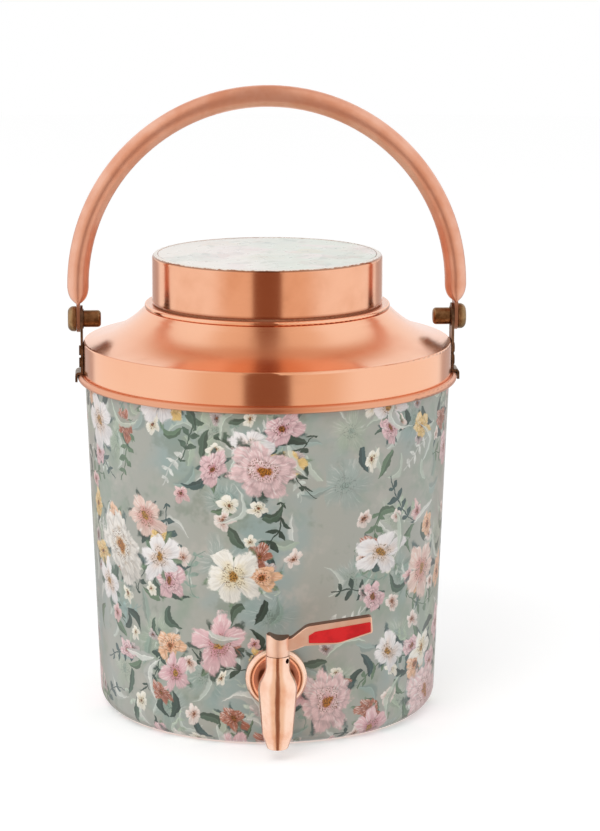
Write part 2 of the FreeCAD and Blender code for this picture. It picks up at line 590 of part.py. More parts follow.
# Bail: oval copper tube bent to a half circle, both ends pressed flat, rounded and drilled
def make_bail():
    body = new_body("bail", {"z": PIVOT_HEIGHT})
    path = new_sketch(body, "XZ_Plane")
    half, leg, start = size(BAIL_HALF), size("bail_leg"), size("bail_flat_start")
    places = ((-half, start), (-half, leg), (half, leg), (half, start))
    corners = [FreeCAD.Vector(*place, 0) for place in places]
    left = path.addGeometry(Part.LineSegment(corners[0], corners[1]))
    right = path.addGeometry(Part.LineSegment(corners[2], corners[3]))
    arch = path.addGeometry(Part.Arc(corners[2], FreeCAD.Vector(0, leg + half, 0), corners[1]))
    path.addConstraint(Sketcher.Constraint("Coincident", left, 2, arch, 2))
    path.addConstraint(Sketcher.Constraint("Coincident", right, 1, arch, 1))
    pin_point(path, left, 1, (f"0 - {BAIL_HALF}", "bail_flat_start"))
    pin_point(path, left, 2, (f"0 - {BAIL_HALF}", "bail_leg"))
    pin_point(path, right, 1, (BAIL_HALF, "bail_leg"))
    pin_point(path, right, 2, (BAIL_HALF, "bail_flat_start"))
    row = path.addConstraint(Sketcher.Constraint("DistanceY", -1, 1, arch, 3, leg))
    path.setExpression(f"Constraints[{row}]", cells("bail_leg"))
    section = new_sketch(body, "XY_Plane", "bail_flat_start")
    ellipse(section, (f"0 - {BAIL_HALF}", "0"), "bail_tube_radius", "bail_tube_depth")
    tube = body.newObject("PartDesign::AdditivePipe", "AdditivePipe")
    tube.Profile = section
    tube.Spine = (path, [])
    doc.recompute()
    section = new_sketch(body, "XY_Plane", "bail_flat_start")
    ellipse(section, (f"0 - {BAIL_HALF}", "0"), "bail_tube_radius - bail_wall", "bail_tube_depth - bail_wall")
    hollow = body.newObject("PartDesign::SubtractivePipe", "SubtractivePipe")
    hollow.Profile = section
    hollow.Spine = (path, [])
    doc.recompute()
    # the end narrows in thickness and spreads in width as it is pressed flat, slowly and then at once
    run = "(bail_flat_start - tongue_top)"
    spread = "(tongue_radius - bail_tube_depth)"
    stages = [
        ("bail_flat_start", "bail_tube_radius", "bail_tube_depth"),
        (f"bail_flat_start - {run} * 0.4", "bail_tube_radius * 0.9", f"bail_tube_depth + {spread} * 0.2"),
        (f"bail_flat_start - {run} * 0.75", "bail_tube_radius * 0.66", f"bail_tube_depth + {spread} * 0.6"),
        ("tongue_top", "tongue_sheet / 2", "tongue_radius"),
    ]
    rings = []
    for height, across, along in stages:
        ring = new_sketch(body, "XY_Plane", height)
        ellipse(ring, (f"0 - {BAIL_HALF}", "0"), across, along)
        rings.append(ring)
    press = body.newObject("PartDesign::AdditiveLoft", "AdditiveLoft")
    press.Profile = rings[0]
    press.Sections = rings[1:]
    doc.recompute()
    face = new_sketch(body, "YZ_Plane", f"0 - {BAIL_HALF}")
    outline(face, [
        ("0 - tongue_radius", "0 - tongue_radius", "tongue_radius * 0.9999"),
        ("tongue_radius", "0 - tongue_radius", "tongue_radius * 0.9999"),
        ("tongue_radius", "tongue_top"),
        ("0 - tongue_radius", "tongue_top"),
    ])
    tongue = extruded(body, "Pad", face, "tongue_sheet", both_ways=True)
    mirrored(body, [press, tongue])
    hole = new_sketch(body, "YZ_Plane")
    circle(hole, ("0", "0"), "bolt_radius + pivot_play")
    extruded(body, "Pocket", hole, f"{COLLAR_RADIUS} * 3", both_ways=True)
    return body


# Tap casting: shank and rosette turned about the inlet axis, barrel and spout about the upright one
def make_tap_body():
    body = new_body("tap_body", TAP_ORIGIN)
    crest = "(tap_reach - rosette_height)"
    turned(body, "Revolution", [
        ("0", "0"),
        ("tap_neck_radius", "0"),
        ("tap_neck_radius", f"{crest} + rosette_dish", "rosette_dish * 0.25"),
        ("dish_radius", f"{crest} + rosette_dish", "rosette_dish * 0.4"),
        ("rosette_radius - rosette_height * 0.75", crest, "rosette_dish * 0.9"),
        ("rosette_radius - rosette_height * 0.3", crest, "rosette_height * 0.32"),
        ("rosette_radius", f"{crest} + rosette_height * 0.5", "rosette_height * 0.4"),
        ("rosette_radius", "tap_reach"),
        ("shank_radius", "tap_reach"),
        ("shank_radius", "tap_reach + shank_length"),
        ("0", "tap_reach + shank_length"),
    ], plane="XY_Plane")
    turned(body, "Revolution", [
        ("0", "0 - spout_drop"),
        ("lip_radius", "0 - spout_drop", "lip_radius * 0.2"),
        ("nose_radius", "nose_height - spout_drop", "nose_height * 1.1"),
        ("bell_radius", "bell_rise", "bell_radius * 1.2"),
        ("barrel_radius", "waist_rise", "bell_radius * 0.8"),
        ("barrel_radius", "barrel_rise"),
        ("0", "barrel_rise"),
    ])
    turned(body, "Groove", [
        ("0", "barrel_rise"),
        ("plug_radius", "barrel_rise"),
        ("plug_radius - plug_taper", "0 - plug_drop"),
        ("outlet_radius", "0 - plug_drop"),
        ("outlet_radius", "0 - spout_drop"),
        ("0", "0 - spout_drop"),
    ])
    sketch = new_sketch(body, "XZ_Plane")
    circle(sketch, ("0", "0"), "inlet_radius")
    extruded(body, "Pocket", sketch, "tap_reach + shank_length")
    sketch = new_sketch(body, "XZ_Plane", turn="screw_turn")
    circle(sketch, ("0", "barrel_rise - screw_drop"), "screw_radius")
    extruded(body, "Pocket", sketch, "barrel_radius * 2", reverse=True)
    return body


# Retaining screw: its tip runs in the plug's stop groove, its head lies a little below the surface
def make_retaining_screw():
    body = new_body("retaining_screw", TAP_ORIGIN)
    stretches = [("Pad", "barrel_radius * 0.83", "screw_radius"),
                 ("Pocket", "plug_radius - groove_depth + groove_gap", "screw_radius * 1.5")]
    for kind, length, radius in stretches:
        sketch = new_sketch(body, "XZ_Plane", turn="screw_turn")
        circle(sketch, ("0", "barrel_rise - screw_drop"), radius)
        extruded(body, kind, sketch, length, reverse=kind == "Pocket")
    return body


# Valve plug: hollow taper with one side port, a groove that limits its turn and a square tang
def make_valve_plug():
    body = new_body("valve_plug", TAP_ORIGIN)
    foot = "(plug_play - plug_drop)"
    turned(body, "Revolution", [
        ("0", foot),
        ("plug_radius - plug_taper - plug_play", foot),
        ("plug_radius - plug_play", "barrel_rise"),
        ("0", "barrel_rise"),
    ])
    turned(body, "Groove", [
        ("0", foot),
        ("port_radius", foot),
        ("port_radius", "port_top"),
        ("0", "port_top"),
    ])
    sketch = new_sketch(body, "YZ_Plane")
    circle(sketch, ("0", "0"), "port_radius")
    extruded(body, "Pocket", sketch, "plug_radius * 2")
    # the stop groove starts where the screw stands at rest and runs as far as the lever turns
    sketch = new_sketch(body, "XZ_Plane", turn="screw_turn - 90 + lever_turn / 2")
    top = "(barrel_rise - screw_drop + screw_radius + groove_gap)"
    bottom = "(barrel_rise - screw_drop - screw_radius - groove_gap)"
    outline(sketch, [
        ("plug_radius - groove_depth", bottom),
        ("plug_radius * 1.2", bottom),
        ("plug_radius * 1.2", top),
        ("plug_radius - groove_depth", top),
    ])
    groove = turned(body, "Groove", sketch)
    groove.Midplane = True
    groove.setExpression("Angle", cells("lever_turn + 2 * stop_margin"))
    doc.recompute()
    square_prism(body, "barrel_rise", "tang_side", "tang_height", "Pad")
    return body


def square_prism(body, height, side, length, kind):
    """A square stem or socket that runs up from a height, on the body's own axis."""
    sketch = new_sketch(body, "XY_Plane", height)
    half = f"({side}) / 2"
    outline(sketch, [
        (f"0 - {half}", f"0 - {half}"),
        (half, f"0 - {half}"),
        (half, half),
        (f"0 - {half}", half),
    ])
    extruded(body, kind, sketch, length, reverse=kind == "Pocket")


# Lever: round boss over the tang, S-shaped arm and a flat paddle that rises towards its end
PADDLE_FOOT = f"({BOSS_FOOT} + paddle_lift)"


def make_lever():
    body = new_body("lever", TAP_ORIGIN)
    side_view = new_sketch(body, "XZ_Plane")
    saddle = f"({BOSS_TOP} - saddle_depth)"
    outline(side_view, [
        ("0", f"{BOSS_FOOT} + paddle_lift * 0.4"),
        ("boss_radius + paddle_lift * 0.3", f"{BOSS_FOOT} + paddle_lift * 0.5", "paddle_lift"),
        ("grip_start - grip_rim", PADDLE_FOOT, "paddle_lift"),
        ("lever_length * 0.64", f"{PADDLE_FOOT} + tip_rise * 0.13", "lever_length * 0.45"),
        ("lever_length", f"{PADDLE_FOOT} + tip_rise", "grip_rim"),
        ("lever_length - grip_rim * 0.4", f"{PADDLE_FOOT} + paddle_height + paddle_rise", "grip_rim"),
        ("grip_start - grip_rim * 0.5", f"{PADDLE_FOOT} + paddle_height", "boss_radius * 1.4"),
        ("boss_radius + lever_rounding", saddle, "boss_radius * 0.9"),
        ("0", saddle),
    ])
    arm = extruded(body, "Pad", side_view, "lever_sheet", both_ways=True)
    face = size("lever_sheet / 2")
    clear = size("boss_radius") + 1
    rims = edges_where(arm, lambda e: abs(abs(e.CenterOfMass.y) - face) < 1e-3 and e.BoundBox.XMax > clear)
    rounded(body, arm, rims, "lever_rounding")
    turned(body, "Revolution", [
        ("0", BOSS_FOOT),
        ("boss_radius", BOSS_FOOT),
        ("boss_radius", BOSS_TOP, "lever_rounding"),
        ("0", BOSS_TOP),
    ])
    hollow = new_sketch(body, "XZ_Plane")
    circle(hollow, ("boss_radius * 0.25", f"{saddle} + saddle_radius"), "saddle_radius")
    extruded(body, "Pocket", hollow, "boss_radius * 3", both_ways=True)
    square_prism(body, BOSS_FOOT, "tang_side + 2 * tang_gap", "tang_height", "Pocket")
    recess = new_sketch(body, "XZ_Plane", "lever_sheet / 2 + grip_proud")
    outline(recess, grip_outline("0"))
    extruded(body, "Pocket", recess, "grip_depth + grip_proud")
    return body


def grip_outline(gap):
    """Outline of the grip's recess, drawn in by a gap."""
    low = f"({PADDLE_FOOT} + grip_rim + {gap})"
    high = f"({PADDLE_FOOT} + paddle_height - grip_brow - {gap})"
    end = f"(lever_length - grip_rim * 0.7 - {gap})"
    return [
        (f"grip_start + {gap}", low, "grip_rim * 0.4"),
        ("lever_length * 0.64", low, "lever_length * 0.3"),
        (end, f"{low} + tip_rise * 0.86", "grip_rim * 0.5"),
        (end, f"{high} + paddle_rise", "grip_rim * 0.5"),
        (f"grip_start + grip_rim * 2.2", high, "grip_rim * 1.6"),
        (f"grip_start + {gap}", f"({low} + {high}) / 2 + grip_rim * 0.6", "grip_rim * 0.4"),
    ]


# Red plastic grip, let into the lever's front face
def make_lever_grip():
    body = new_body("lever_grip", TAP_ORIGIN)
    sketch = new_sketch(body, "XZ_Plane", "lever_sheet / 2 - grip_depth")
    outline(sketch, grip_outline("grip_gap"))
    pad = extruded(body, "Pad", sketch, "grip_depth + grip_proud")
    front = -size("lever_sheet / 2 + grip_proud")
    rounded(body, pad, edges_where(pad, lambda e: e.BoundBox.YMax < front + 1e-3), "grip_proud * 0.8")
    return body


def ring_pad(body, start, outer, inner, length):
    """A flat ring about the inlet axis, from a distance in front of the pot's axis outwards."""
    sketch = new_sketch(body, "XZ_Plane", start)
    circle(sketch, ("0", "0"), outer)
    circle(sketch, ("0", "0"), inner)
    return extruded(body, "Pad", sketch, length)


# Rubber washers: one face flat, the other cut to the curve and slope of the pot's wall
def make_tap_washer(label, outside):
    body = new_body(label, {"z": "tap_height"})
    bore = "shank_radius + shank_fit"
    reach = "(seal_radius * 2)"
    if outside:
        ring_pad(body, f"{TAP_WALL} - seal_radius / 4", "seal_radius", bore, "outer_seal + seal_radius / 4")
        near, far = "0", "0"
        skin = f"({TAP_WALL} + seal_gap)"
    else:
        ring_pad(body, INNER_SEAL_FACE, "seal_radius", bore, "inner_seal + seal_radius / 4")
        near = far = f"({TAP_WALL} + seal_radius)"
        skin = f"({TAP_WALL} - body_wall - seal_gap)"
    turned(body, "Groove", [
        (near, f"0 - {reach}"),
        (f"{skin} - {WALL_SLOPE} * {reach}", f"0 - {reach}"),
        (f"{skin} + {WALL_SLOPE} * {reach}", reach),
        (far, reach),
    ])
    return body


def make_tap_steel_washer():
    body = new_body("tap_steel_washer", {"z": "tap_height"})
    start = f"{INNER_SEAL_FACE} - plate_sheet"
    ring_pad(body, start, "plate_radius", "shank_radius + shank_fit", "plate_sheet")
    return body


# Lock nut: hexagon with its inner corners turned off
def make_tap_lock_nut():
    body = new_body("tap_lock_nut", {"z": "tap_height"})
    back = f"({INNER_SEAL_FACE} - plate_sheet - lock_height)"
    sketch = new_sketch(body, "XZ_Plane", back)
    corner = "lock_flats / sqrt(3)"
    points = []
    for turn in range(30, 390, 60):
        points.append((f"{corner} * cos({turn})", f"{corner} * sin({turn})"))
    outline(sketch, points)
    circle(sketch, ("0", "0"), "shank_radius + tang_gap")
    extruded(body, "Pad", sketch, "lock_height")
    turned(body, "Groove", [
        ("lock_flats * 0.49", f"0 - {back}"),
        ("lock_flats * 0.65", f"0 - {back}"),
        ("lock_flats * 0.65", f"0 - {back} - lock_height * 0.35"),
    ], plane="XY_Plane")
    return body


make_pot_body()
make_bead_wire()
make_shoulder()
make_neck()
make_cap()
make_cap_disc()
for word, sign in (("left", "-1"), ("right", "1")):
    make_ear(f"{word}_ear", sign)
    make_pivot_bolt(f"{word}_pivot_bolt", sign)
    make_pivot_nut(f"{word}_pivot_nut", sign)
make_ear_rivets()
make_pivot_washers()
make_bail()
make_tap_body()
make_retaining_screw()
make_valve_plug()
make_lever()
make_lever_grip()
make_tap_washer("tap_outer_washer", outside=True)
make_tap_washer("tap_inner_washer", outside=False)
make_tap_steel_washer()
make_tap_lock_nut()

for item in doc.Objects:
    if {"Invalid", "Error"} & set(item.State):
        raise RuntimeError(f"{item.Label} did not recompute: {item.State}")
bodies = [item for item in doc.Objects if item.TypeId == "PartDesign::Body"]
for body in bodies:
    if body.Shape.isNull() or not body.Shape.isValid():
        raise RuntimeError(f"{body.Label} has no valid shape")

os.makedirs("parts", exist_ok=True)
for body in bodies:
    print(body.Label, len(body.Shape.Solids), round(body.Shape.Volume, 1))
    body.Shape.exportStep(f"parts/{body.Label}.step")
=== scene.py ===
import math
import bpy
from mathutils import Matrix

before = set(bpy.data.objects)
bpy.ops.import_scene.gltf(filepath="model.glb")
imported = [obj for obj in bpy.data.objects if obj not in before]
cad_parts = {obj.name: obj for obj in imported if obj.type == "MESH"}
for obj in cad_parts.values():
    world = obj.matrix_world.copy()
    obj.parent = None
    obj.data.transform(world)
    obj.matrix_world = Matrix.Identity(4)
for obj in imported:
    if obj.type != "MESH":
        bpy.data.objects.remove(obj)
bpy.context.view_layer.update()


# The view: a long lens a little above the cap, turned a touch to the left of the tap.
# The pot stands left of the middle, so the frame is shifted.
VIEW_FROM = (-0.0762, -1.5928, 0.4781)
VIEW_DOWN = 78.5
VIEW_TURN = -2.74
lens = bpy.data.cameras.new("view")
lens.sensor_fit = "HORIZONTAL"
lens.sensor_width = 36.0
lens.lens = 186.06
lens.shift_x = 0.0545
view = bpy.data.objects.new("view", lens)
view.location = VIEW_FROM
view.rotation_euler = (math.radians(VIEW_DOWN), 0.0, math.radians(VIEW_TURN))
bpy.context.scene.collection.objects.link(view)
bpy.context.scene.camera = view
bpy.context.scene.view_settings.view_transform = "Standard"


# The light of a white tent: bright at its sides, warmer overhead, with a dark gap where its
# front opens and a post at each side behind, which polished copper shows as dark bands.
class Wire:
    """A socket among a finish's nodes. A sum on it adds a Math or a Vector Math node."""

    def __init__(self, socket):
        self.socket = socket

    def node(self, kind, settings, sockets, output=0):
        """Adds a node of a kind: its settings first, then its sockets' values or wires."""
        tree = self.socket.id_data
        made = tree.nodes.new("ShaderNode" + kind)
        for name, value in settings.items():
            if name == "stops":
                ramp = made.color_ramp
                while len(ramp.elements) < len(value):
                    ramp.elements.new(1.0)
                for element, (at, colour) in zip(ramp.elements, value):
                    element.position = at
                    element.color = (*colour, 1.0)
            elif name == "interpolation":
                made.color_ramp.interpolation = value
            else:
                setattr(made, name, value)
        for name, value in sockets.items():
            if isinstance(value, Wire):
                tree.links.new(value.socket, made.inputs[name])
            else:
                made.inputs[name].default_value = value
        return Wire(made.outputs[output])

    def twin(self, output):
        """Another output of the node that this wire comes from."""
        return Wire(self.socket.node.outputs[output])

    def parts(self):
        """The three numbers of a place or a colour."""
        kind = "SeparateColor" if self.socket.type == "RGBA" else "SeparateXYZ"
        split = self.node(kind, {}, {0: self})
        return split, split.twin(1), split.twin(2)

    def sum(self, operation, *values):
        """A Math node, or a Vector Math node where a value is a place or a colour."""
        kind = "Math"
        for value in values:
            if isinstance(value, tuple):
                kind = "VectorMath"
            elif isinstance(value, Wire) and value.socket.type in ("VECTOR", "RGBA"):
                kind = "VectorMath"
        if kind == "VectorMath":
            values = [(v, v, v) if isinstance(v, (int, float)) else v for v in values]
        return self.node(kind, {"operation": operation}, dict(enumerate(values)))

    def __add__(self, other):
        return self.sum("ADD", self, other)

    def __radd__(self, other):
        return self.sum("ADD", other, self)

    def __sub__(self, other):
        return self.sum("SUBTRACT", self, other)

    def __rsub__(self, other):
        return self.sum("SUBTRACT", other, self)

    def __mul__(self, other):
        return self.sum("MULTIPLY", self, other)

    def __rmul__(self, other):
        return self.sum("MULTIPLY", other, self)

    def __truediv__(self, other):
        return self.sum("DIVIDE", self, other)

    def __pow__(self, other):
        return self.sum("POWER", self, other)

    def __lt__(self, other):
        return self.sum("LESS_THAN", self, other)

    def __abs__(self):
        return self.sum("ABSOLUTE", self)


def fade(value, none, full):
    """Goes smoothly from 0 to 1 as a value goes from none to full."""
    sockets = {"Value": value, "From Min": none, "From Max": full}
    return value.node("MapRange", {"interpolation_type": "SMOOTHSTEP"}, sockets)


def over(under, colour, amount):
    """Lays a colour over what is under it, as strongly as the amount says."""
    wires = [w for w in (amount, under, colour) if isinstance(w, Wire)]
    sockets = {0: amount, 6: under, 7: colour}
    for index in (6, 7):
        if isinstance(sockets[index], tuple):
            sockets[index] = (*sockets[index], 1.0)
    return wires[0].node("Mix", {"data_type": "RGBA"}, sockets, 2)


DIM = (0.26, 0.115, 0.065)
GREY = (0.88, 0.73, 0.60)
WHITE = (1.03, 1.06, 1.08)
DUSK = (0.70, 0.47, 0.35)
AMBIENT = (0.74, 0.74, 0.74)
# Each pair is where a part of the tent starts and is whole: in degrees to either side of
# the view's heading, or in height, as the sine of the angle above the horizon.
SIDE_WALLS = (34.0, 62.0)
ROOF = (0.87, 0.95)
BACK_WALL = (130.0, 150.0)
BACK_WALL_FOOT = (0.50, 0.72)
BACK_WALL_TOP = (0.99, 0.94)
POST_FRONT = (134.0, 142.0)
POST_BACK = (170.0, 162.0)
POST_TOP = (0.10, 0.0)
POST_DEPTH = 0.6
GAP_TIP = 0.62
GAP_SPREAD = 0.155
GAP_EDGE = 0.022

world = bpy.data.worlds.new("tent")
bpy.context.scene.world = world
world.use_nodes = True
sky = world.node_tree.nodes["Background"]
heading = Wire(world.node_tree.nodes.new("ShaderNodeTexCoord").outputs["Generated"])
east, north, up = heading.parts()
bearing = east.sum("ARCTAN2", east, 0 - north)
aside = abs(bearing * math.degrees(1.0) - VIEW_TURN)
walls = over(GREY, WHITE, fade(aside, *SIDE_WALLS))
walls = over(walls, GREY, fade(up, *ROOF))
back = fade(aside, *BACK_WALL) * fade(up, *BACK_WALL_FOOT) * fade(up, *BACK_WALL_TOP)
walls = over(walls, DUSK, back)
posts = fade(aside, *POST_FRONT) * fade(aside, *POST_BACK) * fade(up, *POST_TOP)
walls = over(walls, DIM, posts * POST_DEPTH)
turn = math.radians(VIEW_TURN)
across = abs(east * math.cos(turn) + north * math.sin(turn))
behind = north * math.cos(turn) - east * math.sin(turn)
opening = fade(across - (GAP_TIP - behind) * GAP_SPREAD, GAP_EDGE, -GAP_EDGE)
walls = over(walls, DIM, opening)
rays = heading.node("LightPath", {}, {}, "Is Camera Ray")
mirror = rays.sum("MAXIMUM", rays.twin("Is Glossy Ray"), rays.twin("Is Transmission Ray"))
light = over(AMBIENT, walls, mirror)
light = over(light, (1.0, 1.0, 1.0), rays)
world.node_tree.links.new(light.socket, sky.inputs["Color"])


# The lamp: one large soft disc high in front, left of the view. It rounds the pot and throws
# its shadow, and polished copper shows the tent and not the lamp.
key = bpy.data.lights.new("key", "AREA")
key.shape = "DISK"
key.size = 1.2
key.energy = 11.0
lamp = bpy.data.objects.new("key", key)
lamp.location = (-0.7, -1.3, 1.6)
lamp.rotation_euler = (math.radians(40.0), 0.0, math.radians(-28.0))
lamp.visible_glossy = False
bpy.context.scene.collection.objects.link(lamp)


# The floor: a round pale table top, matt as paper. It looks white to the eye, apart from the
# pot's shadow, and the copper shows the tent in its place.
TABLE_GLOW = 0.39
bpy.ops.object.select_all(action="DESELECT")
bpy.ops.mesh.primitive_circle_add(vertices=96, radius=3.0, fill_type="NGON")
floor = bpy.context.active_object
floor.name = "table"
paper = bpy.data.materials.new("white_paper")
paper.use_nodes = True
matt = paper.node_tree.nodes["Principled BSDF"]
matt.inputs["Base Color"].default_value = (0.80, 0.80, 0.80, 1.0)
matt.inputs["Roughness"].default_value = 0.9
matt.inputs["Specular IOR Level"].default_value = 0.0
matt.inputs["Emission Color"].default_value = (1.0, 1.0, 1.0, 1.0)
grain = Wire(paper.node_tree.nodes.new("ShaderNodeTexCoord").outputs["Object"])
seen = grain.node("LightPath", {}, {}, "Is Camera Ray")
paper.node_tree.links.new((seen * TABLE_GLOW).socket, matt.inputs["Emission Strength"])
clear = grain.node("BsdfTransparent", {}, {})
layers = {0: seen.twin("Is Glossy Ray"), 1: Wire(matt.outputs[0]), 2: clear}
shown = grain.node("MixShader", {}, layers)
paper.node_tree.links.new(shown.socket, paper.node_tree.nodes["Material Output"].inputs["Surface"])
floor.data.materials.append(paper)


# The shoulder with its rolled edge, and the neck: one sheet of copper each, spun on a lathe
# and polished, so that fine lines run round them and smudges of handling lie over these.
def finish(name, **constants):
    """A new finish: its material, the shader and the place on the piece."""
    material = bpy.data.materials.new(name)
    material.use_nodes = True
    shader = material.node_tree.nodes["Principled BSDF"]
    for socket, value in constants.items():
        value = (*value, 1.0) if isinstance(value, tuple) else value
        shader.inputs[socket.replace("_", " ")].default_value = value
    place = Wire(material.node_tree.nodes.new("ShaderNodeTexCoord").outputs["Object"])
    return material, shader, place


def feed(shader, **wires):
    """Leads wires into the sockets of a shader."""
    for socket, wire in wires.items():
        shader.id_data.links.new(wire.socket, shader.inputs[socket.replace("_", " ")])


def dress(material, *names):
    """Gives nodes of the frame their finish."""
    for name in names:
        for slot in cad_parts[name].material_slots:
            slot.material = material


def tint(red, green, blue):
    """A colour as a paint chart gives it, 0 to 255."""
    return tuple((c / 255.0) ** 2.2 for c in (red, green, blue))


def noise(place, scale, detail=2.0, roughness=0.5):
    """Soft random blots, scale of them to a metre."""
    sockets = {"Vector": place, "Scale": scale, "Detail": detail, "Roughness": roughness}
    return place.node("TexNoise", {}, sockets)


def bump(height, distance, strength=1.0):
    """The normal of a surface with a fine relief."""
    return height.node("Bump", {}, {"Height": height, "Distance": distance, "Strength": strength})


def spun_lines(place):
    """Fine lathe lines, the same all the way round: noise on radius and height alone."""
    x, y, z = place.parts()
    radius = (x * x + y * y) ** 0.5
    return noise(place.node("CombineXYZ", {}, {0: radius, 1: z}), 900.0, 3.0, 0.6), radius, z


COPPER = (0.93, 0.50, 0.32)
REDDER_COPPER = (0.90, 0.44, 0.27)
HANDLED_COPPER = (0.82, 0.37, 0.22)
SHADED_COPPER = (0.72, 0.30, 0.17)
# Each pair is where a zone starts and is whole: in metres, or in how far a face looks up.
STRIP_FOOT = (0.2141, 0.2144)
STRIP_TOP = (0.2185, 0.2165)
ROLL_TOP = (0.1779, 0.1774)
ROLL_FACE = (0.0954, 0.0958)
FLAT_LAND = (0.35, 0.85)

material, shader, place = finish("polished_copper")
lines, radius, z = spun_lines(place)
smudge = noise(place, 38.0, 4.0, 0.6)
colour = over(COPPER, REDDER_COPPER, fade(noise(place, 14.0, 2.0), 0.35, 0.75) * 0.5)
colour = over(colour, HANDLED_COPPER, fade(smudge, 0.62, 0.8) * 0.25)
# Painted shade under the cap: the neck's strip just below the cap's foot is coloured darker brown
# and made less metallic.
shaded_strip = fade(z, *STRIP_FOOT) * fade(z, *STRIP_TOP)
# Painted shade on the rolled edge: SHADED_COPPER darkens it. The edge is also made rougher.
shaded_roll = fade(z, *ROLL_TOP) * fade(radius, *ROLL_FACE)
upward = place.twin("Normal").parts()[2]
slope = fade(upward, *FLAT_LAND)
colour = over(colour, tint(186, 122, 84), shaded_strip * 0.8)
colour = over(colour, SHADED_COPPER, shaded_roll * 0.6)
worn = fade(smudge, 0.5, 0.75) * 0.06
feed(shader, Base_Color=colour)
feed(shader, Metallic=1.0 - shaded_strip * 0.8)
feed(shader, Roughness=0.15 + (lines - 0.5) * 0.08 + worn + shaded_roll * 0.14 + slope * 0.06)
feed(shader, Normal=bump(lines, 0.00002, 0.4))
dress(material, "shoulder", "neck")


# The body: a drum spun from copper sheet and printed all round, so that the print's two ends
# meet at the back. A loose garden of painted flowers lies on a sage ground, under lacquer.
DRUM_RADIUS = 0.0917
SAGE = tint(172, 172, 162)
GHOSTS = [tint(208, 214, 204), tint(226, 226, 218), tint(196, 206, 190)]
MISTS = [tint(136, 160, 146), tint(150, 172, 166), tint(176, 190, 166)]
GREENS = [tint(52, 70, 60), tint(78, 98, 82), tint(100, 122, 96), tint(62, 84, 82)]
CHALK = (0.93, 0.91, 0.86)
FULL_TURN = 6.28
SWAY = 0.0044
PRINTED_SIDE = (0.30, 0.36)


def unrolled(place):
    """The drum's side laid flat: metres round it from the front, and metres up."""
    x, y, z = place.parts()
    round_it = x.sum("ARCTAN2", x, 0 - y) * DRUM_RADIUS
    return place.node("CombineXYZ", {}, {0: round_it, 1: z})


def blots(flat, scale, detail=2.0, roughness=0.5):
    """Soft blots on the flat sheet, scale of them to a metre."""
    sockets = {"Vector": flat, "Scale": scale, "Detail": detail, "Roughness": roughness}
    return flat.node("TexNoise", {"noise_dimensions": "2D"}, sockets)


def shade(colour, amount):
    """A colour made darker or lighter, in proportion."""
    return colour.node("HueSaturation", {}, {"Color": colour, "Value": amount})


def brush(flat):
    """What the strokes share: a sheet that a loose hand bends, an unsteady edge, and grains."""
    right, rise, _ = blots(flat, 95.0, 3.0, 0.55).twin("Color").parts()
    sway = flat.node("CombineXYZ", {}, {0: (right - 0.5) * SWAY, 1: (rise - 0.5) * SWAY})
    return flat + sway, blots(flat, 260.0, 3.0, 0.65) - 0.5, blots(flat, 1300.0, 1.0)


def scatter(flat, spacing, shift, chance, gather, loose):
    """One motif in each cell of a loose net: the way from its middle, and whether it is there."""
    moved = (shift, shift * 0.61, 0.0)
    net = flat / spacing + moved
    sockets = {"Vector": net, "Scale": 1.0, "Randomness": loose}
    middle = net.node("TexVoronoi", {"voronoi_dimensions": "2D"}, sockets, "Position")
    one, two, three = middle.twin("Color").parts()
    away = (net - middle) * spacing
    turned = {"Vector": away, "Angle": two * FULL_TURN}
    spun = away.node("VectorRotate", {"rotation_type": "Z_AXIS"}, turned)
    home = (middle - moved) * spacing
    bunch = fade(blots(home, 20.0, 1.0), 0.45 - gather, 0.45)
    return spun, away, one < bunch * chance, two, three


def again(die, times):
    """Another throw of the same die."""
    thrown = die * times
    return thrown.sum("FRACT", thrown)


def pick(die, colours):
    """One of some colours, by a throw of the die."""
    stops = [(number / len(colours), colour) for number, colour in enumerate(colours)]
    return die.node("ValToRGB", {"stops": stops, "interpolation": "CONSTANT"}, {0: die})


